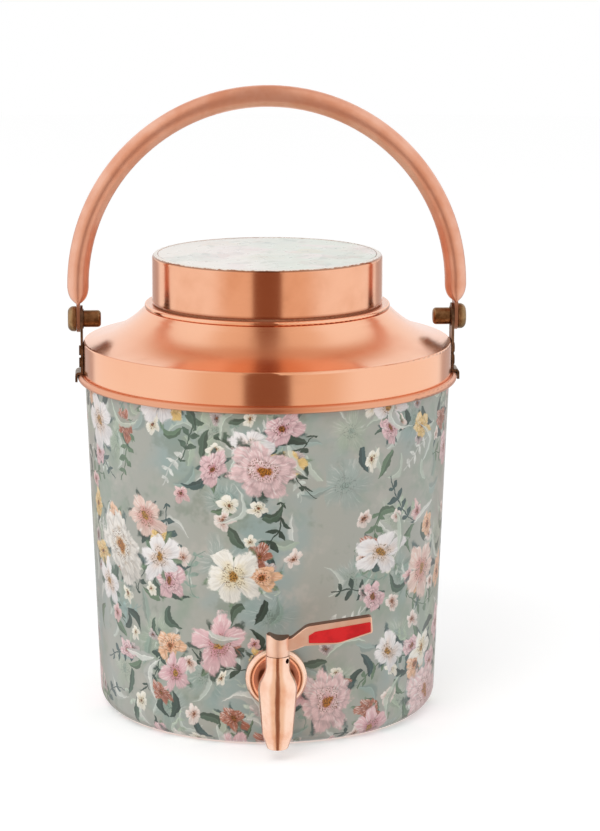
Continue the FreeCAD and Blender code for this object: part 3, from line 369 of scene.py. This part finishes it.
def bloom(paint, strokes, spacing, shift, size, petals, inner, outer, heart, chance, gather,
          rings=1, notch=0.26, soft=0.08, strength=1.0, foliage=()):
    """Paints open flowers: rings of petals, each streaked from the middle, and a heart."""
    flat, wobble, grains = strokes
    spun, away, here, two, three = scatter(flat, spacing, shift, chance, gather, loose=0.65)
    spun = spun * spun.node("CombineXYZ", {}, {0: 1.0, 1: 1.0 + three * 0.5, 2: 1.0})
    x, y, _ = spun.parts()
    angle = x.sum("ARCTAN2", y, x)
    distance = (x * x + y * y) ** 0.5
    radius = again(two, 7.0) * 0.35 * size + 0.75 * size
    turned = {0: x / distance + two * 40.0, 1: y / distance + three * 40.0}
    uneven = blots(spun.node("CombineXYZ", {}, turned), 0.9, 1.0) * 0.9 + 0.55
    present = here * strength
    if foliage:
        turn = angle * 2.5 + two * 9.0
        spike = abs(turn.sum("COSINE", turn))
        reach = distance / (radius * (spike ** 5.0 * 0.85 + 0.35) * uneven) + wobble * 0.5
        green = pick(again(three, 9.0), foliage)
        green = shade(green, fade(spike, 0.992, 1.0) * 0.4 + 0.95)
        paint = over(paint, green, fade(reach, 1.1, 0.85) * present * 0.9)
    deep = pick(again(three, 5.0), inner)
    pale = pick(again(three, 5.0), outer)
    combed = {0: angle * petals + two * 30.0, 1: distance * 60.0}
    streaks = blots(spun.node("CombineXYZ", {}, combed), 1.7, 3.0, 0.65)
    right, rise, _ = away.parts()
    lit = fade(rise * 0.8 - right * 0.6, radius * -1.0, radius)
    mottle = blots(flat, 170.0, 2.0)
    for ring in range(rings):
        share = 1.0 - 0.82 * ring / rings
        turn = angle * (petals / 2.0) + ring * 1.9
        lobe = abs(turn.sum("COSINE", turn))
        edge = radius * (lobe ** 0.5 * notch + (1.0 - notch)) * uneven * share
        reach = distance / edge + wobble * 0.42
        if ring:
            paint = shade(paint, 1.0 - fade(reach, 1.35, 0.95) * present * 0.3)
        petal = over(deep, pale, fade(reach, 0.12, 0.8))
        crease = fade(lobe, 0.3, 0.0) * fade(reach, 1.15, 0.4)
        tone = streaks * 0.55 + 0.42 + lit * 0.24 + mottle * 0.25
        petal = shade(petal, tone * (1.0 - crease * 0.4))
        chalky = fade(streaks + lit * 0.12, 0.58, 0.78) * fade(reach, 0.3, 0.8)
        petal = over(petal, CHALK, chalky * 0.6)
        paint = over(paint, petal, fade(reach, 1.0 + soft, 1.0 - soft) * present)
    centre = distance / (radius * 0.19) + wobble * 1.6
    dots = over(heart, tuple(c * 0.25 for c in heart), fade(grains, 0.45, 0.6))
    paint = over(paint, dots, fade(centre, 1.3, 0.7) * present)
    ring_dots = fade(abs(centre - 1.8), 0.7, 0.2) * fade(grains, 0.53, 0.62)
    return over(paint, tuple(c * 0.35 for c in heart), ring_dots * present * 0.8)


def leaves(paint, strokes, spacing, shift, length, width, colours, chance, gather,
           soft=0.12, strength=0.95):
    """Paints single bent leaves, one half darker than the other."""
    flat, wobble, _ = strokes
    spun, _, here, _, three = scatter(flat, spacing, shift, chance, gather, loose=0.9)
    x, y, _ = spun.parts()
    bent = y + x * x * (three - 0.5) * (2.2 / length)
    reach = abs(bent) / width + (x / length) ** 2.0 + wobble * 0.6
    colour = pick(again(three, 3.0), colours)
    rib = fade(abs(bent), width * 0.2, 0.0)
    colour = shade(colour, 1.0 - fade(bent, -0.0002, 0.0004) * 0.34 + rib * 0.3)
    return over(paint, colour, fade(reach, 1.0 + soft, 1.0 - soft) * here * strength)


def sprigs(paint, strokes, spacing, shift, length, leaf, colours, chance, gather,
           soft=0.12, strength=0.95):
    """Paints bent stems with a leaf to each side at every step."""
    flat, wobble, _ = strokes
    spun, _, here, _, three = scatter(flat, spacing, shift, chance, gather, loose=0.8)
    x, y, _ = spun.parts()
    bent = y + x * x * (three - 0.5) * (1.4 / length)
    step = leaf * 0.9
    along = x / step
    u = (along.sum("FRACT", along) - 0.5) * step
    v = abs(bent)
    a = u * 0.62 + v * 0.78
    b = u * -0.78 + v * 0.62
    short = 1.0 - fade(abs(x), length * 0.25, length) * 0.6
    half = short * (leaf * 0.5)
    reach = abs(b) / (half * 0.42) + ((a - half) / half) ** 2.0 + wobble * 0.7
    inside = here * (abs(x) < length)
    colour = pick(again(three, 3.0), colours)
    stem = fade(v, 0.0005, 0.0002) * inside
    paint = over(paint, shade(colour, 0.8), stem * strength)
    colour = shade(colour, wobble * 1.2 + 1.0)
    return over(paint, colour, fade(reach, 1.0 + soft, 1.0 - soft) * inside * strength)


def meadow(flat, strokes, ground):
    """The ground of the print: a clouded wash with pale leaves and flowers sunk in it."""
    cloud = blots(flat, 24.0, 4.0, 0.65)
    east = blots(flat + (3.1, 0, 0), 16.0, 3.0)
    west = blots(flat + (7.7, 0, 0), 36.0, 4.0, 0.65)
    paint = over(ground, tint(150, 162, 146), fade(cloud, 0.46, 0.66) * 0.85)
    paint = over(paint, tint(152, 172, 170), fade(east, 0.54, 0.7) * 0.7)
    paint = over(paint, tint(192, 186, 176), fade(west, 0.52, 0.7) * 0.6)
    paint = over(paint, tint(128, 138, 122), fade(west, 0.42, 0.3) * 0.5)
    paint = bloom(paint, strokes, spacing=0.033, shift=9.1, size=0.0125, petals=5,
                  inner=MISTS, outer=MISTS[1:], heart=MISTS[0], chance=0.8, gather=0.3,
                  notch=0.5, soft=0.4, strength=0.5)
    paint = leaves(paint, strokes, spacing=0.017, shift=4.3, length=0.0095, width=0.0026,
                   colours=GHOSTS + MISTS, chance=0.9, gather=0.2, soft=0.3, strength=0.6)
    return sprigs(paint, strokes, spacing=0.033, shift=12.9, length=0.013, leaf=0.0058,
                  colours=GHOSTS + MISTS, chance=0.8, gather=0.2, soft=0.25, strength=0.8)


def flowers(paint, strokes):
    """The flowers and their green, from the hindmost to the foremost."""
    paint = sprigs(paint, strokes, spacing=0.038, shift=2.2, length=0.017, leaf=0.0075,
                   colours=GREENS, chance=0.95, gather=0.1)
    paint = leaves(paint, strokes, spacing=0.0155, shift=6.7, length=0.0085, width=0.0022,
                   colours=GREENS, chance=0.75, gather=0.08)
    paint = bloom(
        paint, strokes, spacing=0.0185, shift=3.7, size=0.0052, petals=5,
        inner=[tint(206, 160, 140), tint(204, 140, 144), tint(226, 210, 176), tint(128, 104, 104)],
        outer=[tint(238, 222, 212), tint(230, 190, 186), tint(244, 238, 222), tint(196, 180, 176)],
        heart=tint(140, 84, 48), chance=0.75, gather=0.12, notch=0.4)
    paint = bloom(
        paint, strokes, spacing=0.029, shift=17.3, size=0.0092, petals=5,
        inner=[tint(212, 116, 74), tint(190, 120, 132), tint(214, 156, 60), tint(132, 64, 50)],
        outer=[tint(242, 190, 150), tint(232, 192, 194), tint(238, 200, 128), tint(180, 112, 88)],
        heart=tint(150, 92, 40), chance=0.95, gather=0.05, rings=2, notch=0.34, foliage=GREENS)
    paint = bloom(
        paint, strokes, spacing=0.043, shift=21.9, size=0.0150, petals=5,
        inner=[tint(206, 140, 150), tint(238, 222, 184), tint(216, 150, 140), tint(230, 206, 190)],
        outer=[tint(232, 190, 192), tint(246, 240, 228), tint(236, 204, 190), tint(244, 238, 236)],
        heart=tint(186, 132, 52), chance=0.95, gather=0.04, notch=0.5, foliage=GREENS)
    paint = leaves(paint, strokes, spacing=0.030, shift=37.1, length=0.0115, width=0.0026,
                   colours=GHOSTS, chance=0.8, gather=0.06, soft=0.25, strength=0.8)
    return bloom(
        paint, strokes, spacing=0.078, shift=5.2, size=0.0215, petals=7,
        inner=[tint(222, 166, 66), tint(212, 138, 146)],
        outer=[tint(240, 232, 222), tint(238, 202, 200)],
        heart=tint(186, 116, 36), chance=0.95, gather=0.05, rings=3, foliage=GREENS)


material, shader, place = finish("floral_print", Coat_Weight=0.25, Coat_Roughness=0.12)
flat = unrolled(place)
x, y, _ = place.parts()
nx, ny, _ = place.twin("Normal").parts()
outward = (nx * x + ny * y) / ((x * x + y * y) ** 0.5)
printed = fade(outward, *PRINTED_SIDE)
strokes = brush(flat)
paint = flowers(meadow(flat, strokes, SAGE), strokes)
feed(shader, Base_Color=over(COPPER, paint, printed))
feed(shader, Metallic=1.0 - printed)
feed(shader, Roughness=printed * 0.10 + 0.26)
feed(shader, Normal=bump(blots(flat, 30.0, 2.0), 0.0004, 0.5))
dress(material, "pot_body")


# The ears and what fixes them: bent strips, rivets, dome-headed pivot bolts, round nuts and
# washers, all of brass, browned in a bath and rubbed back, so that proud spots are brighter.
def browned(name, light, dark, rough):
    """Brass browned in a bath and rubbed back."""
    material, shader, place = finish(name, Metallic=1.0)
    cloud = noise(place, 260.0, 4.0, 0.6)
    specks = noise(place, 1400.0, 3.0, 0.6)
    colour = over(light, dark, fade(cloud, 0.35, 0.65))
    colour = over(colour, tint(182, 150, 108), fade(specks, 0.6, 0.72) * 0.6)
    feed(shader, Base_Color=colour)
    feed(shader, Roughness=rough + (specks - 0.5) * 0.25)
    feed(shader, Normal=bump(cloud + specks * 0.4, 0.00006))
    return material


dress(browned("browned_brass", tint(168, 134, 98), tint(120, 92, 62), rough=0.36),
      "left_pivot_bolt", "right_pivot_bolt", "left_pivot_nut", "right_pivot_nut", "ear_rivets")
dress(browned("browned_strip", tint(152, 128, 106), tint(104, 86, 70), rough=0.40),
      "left_ear", "right_ear", "pivot_washers")


# The bail: a copper tube bent to a half ring, its ends pressed flat for the pivot bolts.
# It is drawn, not spun, so its lines run along it, and its pressed ends are painted darker.
PIVOT_HEIGHT = 0.206
ARCH_RADIUS = 0.098
PRESSED_END = (PIVOT_HEIGHT + 0.013, PIVOT_HEIGHT + 0.004)
LINES_ACROSS = 1400.0
LINES_ALONG = 25.0
material, shader, place = finish("drawn_copper", Metallic=0.75)
x, y, z = place.parts()
swing = (x * x + (z - PIVOT_HEIGHT) ** 2.0) ** 0.5
along = x.sum("ARCTAN2", x, z - PIVOT_HEIGHT) * ARCH_RADIUS
stretched = {0: swing * LINES_ACROSS, 1: y * LINES_ACROSS, 2: along * LINES_ALONG}
lines = noise(place.node("CombineXYZ", {}, stretched), 1.0, 3.0, 0.6)
cloud = noise(place, 60.0, 3.0, 0.6)
colour = over(tint(240, 182, 156), tint(230, 162, 132), fade(cloud, 0.35, 0.7))
pinch = fade(z, *PRESSED_END)
# The pressed ends are painted a darker brown.
feed(shader, Base_Color=over(colour, tint(150, 104, 76), pinch * 0.75))
feed(shader, Roughness=0.34 + (lines - 0.5) * 0.08 + fade(cloud, 0.45, 0.75) * 0.05)
feed(shader, Normal=bump(lines, 0.000005, 0.3))
dress(material, "bail")


# The cap: a cup of copper drawn from one sheet, which pushes over the neck. The pale
# lacquer of its top ends on the rounded edge, which lifting it has chipped. Painted shade
# darkens the rounded edge below the lacquer, and the cap's foot.
CAP_COPPER = (0.90, 0.46, 0.29)
CREAM = tint(238, 231, 221)
CAP_EDGE = 0.2372
CAP_RIM = (CAP_EDGE - 0.0004, CAP_EDGE + 0.0004)
CAP_FOOT = (0.2168, 0.2153)
LACQUERED_TOP = (0.74, 0.90)
ROUNDED_EDGE = (0.35, 0.60)
material, shader, place = finish("capped_copper", Coat_Roughness=0.15)
lines, _, z = spun_lines(place)
upward = place.twin("Normal").parts()[2]
chips = noise(place, 420.0, 3.0, 0.65)
rim = fade(z, *CAP_RIM)
lacquer = fade(upward + (chips - 0.5) * 0.5, *LACQUERED_TOP) * rim
smudge = noise(place, 38.0, 4.0, 0.6)
colour = over(CAP_COPPER, tint(222, 150, 112), fade(smudge, 0.4, 0.75) * 0.5)
# Painted shade along the cap's foot, just above the neck.
shaded_foot = fade(z, *CAP_FOOT)
colour = over(colour, tint(150, 88, 58), shaded_foot * 0.6)
# Painted shade: the rounded edge below the lacquer is coloured a darker brown.
colour = over(colour, tint(148, 104, 82), fade(upward, *ROUNDED_EDGE) * rim * 0.8)
worn = fade(smudge, 0.5, 0.75) * 0.06
feed(shader, Base_Color=over(colour, CREAM, lacquer))
feed(shader, Metallic=1.0 - lacquer)
feed(shader, Roughness=0.15 + (lines - 0.5) * 0.08 + lacquer * 0.15 + worn)
feed(shader, Normal=bump(lines, 0.00002, 0.4))
dress(material, "cap")


# The cap's disc: thin sheet with a faded cutting of the same print, under lacquer. It is set
# in the recess of the cap's top, where handling and light have paled it.
CUTTING = 0.8
CUT_FROM = (0.31, 0.17)
GREENER_SIDE = (0.03, 0.08)
VEIL = 0.80
material, shader, place = finish("faded_print", Coat_Weight=0.3, Coat_Roughness=0.1)
x, y, _ = place.parts()
flat = place.node("CombineXYZ", {}, {0: x * CUTTING + CUT_FROM[0], 1: y * CUTTING + CUT_FROM[1]})
strokes = brush(flat)
ground = over(CREAM, tint(216, 221, 206), fade(x + blots(flat, 24.0, 3.0) * 0.10, *GREENER_SIDE))
ground = over(ground, tint(237, 221, 216), fade(blots(flat, 36.0, 3.0), 0.50, 0.62) * 0.7)
ground = over(ground, tint(206, 214, 202), fade(blots(flat, 48.0, 3.0), 0.46, 0.36) * 0.5)
paint = flowers(ground, strokes)
feed(shader, Base_Color=over(paint, ground, VEIL + (blots(flat, 60.0, 3.0) - 0.5) * 0.4))
feed(shader, Roughness=0.30 + (blots(flat, 200.0, 3.0) - 0.5) * 0.15)
dress(material, "cap_disc")


# The tap: brass, cast, turned and plated with copper. It was buffed by hand, which leaves
# slow waves in its faces. Its rosette's dish is matt, with painted shade in the hollow beside
# the neck, and the lever's top carries painted shade too.
INLET_HEIGHT = 0.0386
HOLLOW_RISE = 0.0005
# Each pair is where a zone starts and is whole: in metres, or in how far a face looks up.
DISH_RADIUS = (0.0116, 0.0108)
DISH_DEPTH = (-0.1015, -0.0985)
HOLLOW_HEIGHT = (0.0056, 0.0028)
HOLLOW_RADIUS = (0.0100, 0.0085)
TOP_FACE = (0.5, 0.8)


def plated_copper(name, paints_hollow_shade, rough):
    """Copper plate on cast brass, buffed by hand."""
    material, shader, place = finish(name)
    x, y, z = place.parts()
    waves = noise(place, 120.0, 1.0)
    grit = noise(place, 900.0, 3.0, 0.6)
    cloud = noise(place, 90.0, 3.0, 0.6)
    colour = over(tint(254, 214, 190), tint(248, 194, 166), fade(cloud, 0.35, 0.7))
    if paints_hollow_shade:
        radius = (x * x + (z - INLET_HEIGHT) ** 2.0) ** 0.5
        matt = fade(radius, *DISH_RADIUS) * fade(y, *DISH_DEPTH)
        level = abs(z - INLET_HEIGHT - HOLLOW_RISE)
        hollow_shade = matt * fade(level, *HOLLOW_HEIGHT) * fade(radius, *HOLLOW_RADIUS)
        colour = over(colour, tint(250, 172, 134), matt * 0.8)
        # Painted shade in the rosette's hollow beside the neck, coloured dark brown.
        colour = over(colour, tint(112, 60, 38), hollow_shade * 0.9)
        feed(shader, Metallic=1.0 - matt * 0.6)
    else:
        upward = place.twin("Normal").parts()[2]
        # Painted shade along the lever's top: faces that look up are coloured dark brown and made
        # less metallic.
        shaded_top = fade(upward, *TOP_FACE)
        colour = over(colour, tint(122, 72, 56), shaded_top * 0.85)
        feed(shader, Metallic=0.65 + shaded_top * 0.35)
    feed(shader, Base_Color=colour)
    feed(shader, Roughness=rough + (grit - 0.5) * 0.10 + fade(cloud, 0.5, 0.75) * 0.06)
    feed(shader, Normal=bump(waves + grit * 0.01, 0.00022))
    return material


dress(plated_copper("plated_body", paints_hollow_shade=True, rough=0.18), "tap_body")
dress(plated_copper("plated_lever", paints_hollow_shade=False, rough=0.40), "lever")


# The lever's grip: red plastic moulded to shape and let into the lever's face, glossy, with
# a little scuffing where fingers turn it.
material, shader, place = finish("red_plastic", Coat_Weight=0.4, Coat_Roughness=0.12)
cloud = noise(place, 130.0, 3.0, 0.6)
scuffs = noise(place * (500.0, 500.0, 3500.0), 1.0, 3.0, 0.6)
feed(shader, Base_Color=over(tint(226, 32, 38), tint(198, 18, 28), fade(cloud, 0.4, 0.7)))
feed(shader, Roughness=0.28 + fade(scuffs, 0.5, 0.7) * 0.16)
feed(shader, Normal=bump(cloud + scuffs * 0.05, 0.00005))
dress(material, "lever_grip")


# The tap's works: a tapered brass plug lapped in by turning it, so its marks run round it,
# and the lock nut that clamps the tap from inside the pot, turned from bar.
BARREL_DEPTH = -0.1085129


def turned_brass(name, upright):
    """Bare brass from the lathe. Its axis is the barrel's, or else the shank's."""
    material, shader, place = finish(name, Metallic=1.0)
    x, y, z = place.parts()
    if upright:
        across, along = (x * x + (y - BARREL_DEPTH) ** 2.0) ** 0.5, z
    else:
        across, along = (x * x + (z - INLET_HEIGHT) ** 2.0) ** 0.5, y
    rings = noise(place.node("CombineXYZ", {}, {0: across, 1: along}), 2600.0, 3.0, 0.6)
    stain = noise(place, 170.0, 4.0, 0.6)
    feed(shader, Base_Color=over(tint(214, 182, 112), tint(176, 140, 82), fade(stain, 0.4, 0.7)))
    feed(shader, Roughness=0.28 + (rings - 0.5) * 0.2)
    feed(shader, Normal=bump(rings, 0.00003, 0.6))
    return material


dress(turned_brass("lapped_brass", upright=True), "valve_plug")
dress(turned_brass("turned_brass", upright=False), "tap_lock_nut")


# The steel pieces: the wire inside the shoulder's rolled edge, the washer under the lock nut,
# and the blackened screw that keeps the plug in. Fine grinding marks cross their faces.
def ground_steel(name, light, dark, rough):
    """Steel with the marks of a grinding belt."""
    material, shader, place = finish(name, Metallic=1.0)
    belt = noise(place * (400.0, 400.0, 2600.0), 1.0, 3.0, 0.6)
    spots = noise(place, 350.0, 4.0, 0.65)
    feed(shader, Base_Color=over(light, dark, fade(spots, 0.45, 0.7)))
    feed(shader, Roughness=rough + (belt - 0.5) * 0.2)
    feed(shader, Normal=bump(belt, 0.00003, 0.5))
    return material


dress(ground_steel("bright_steel", tint(200, 200, 198), tint(160, 158, 152), rough=0.30),
      "tap_steel_washer", "bead_wire")
dress(ground_steel("blackened_steel", tint(46, 34, 28), tint(26, 20, 18), rough=0.40),
      "retaining_screw")


# The tap's two gaskets: rings stamped from black rubber sheet, one on each side of the pot's
# wall. A bloom of talc from the stamping still lies on them.
material, shader, place = finish("black_rubber", Specular_IOR_Level=0.35)
pores = noise(place, 2200.0, 2.0, 0.6)
talc = noise(place, 240.0, 4.0, 0.65)
feed(shader, Base_Color=over(tint(38, 36, 36), tint(92, 90, 88), fade(talc, 0.5, 0.8) * 0.6))
feed(shader, Roughness=0.62 + (talc - 0.5) * 0.3)
feed(shader, Normal=bump(pores, 0.00004, 0.6))
dress(material, "tap_outer_washer", "tap_inner_washer")
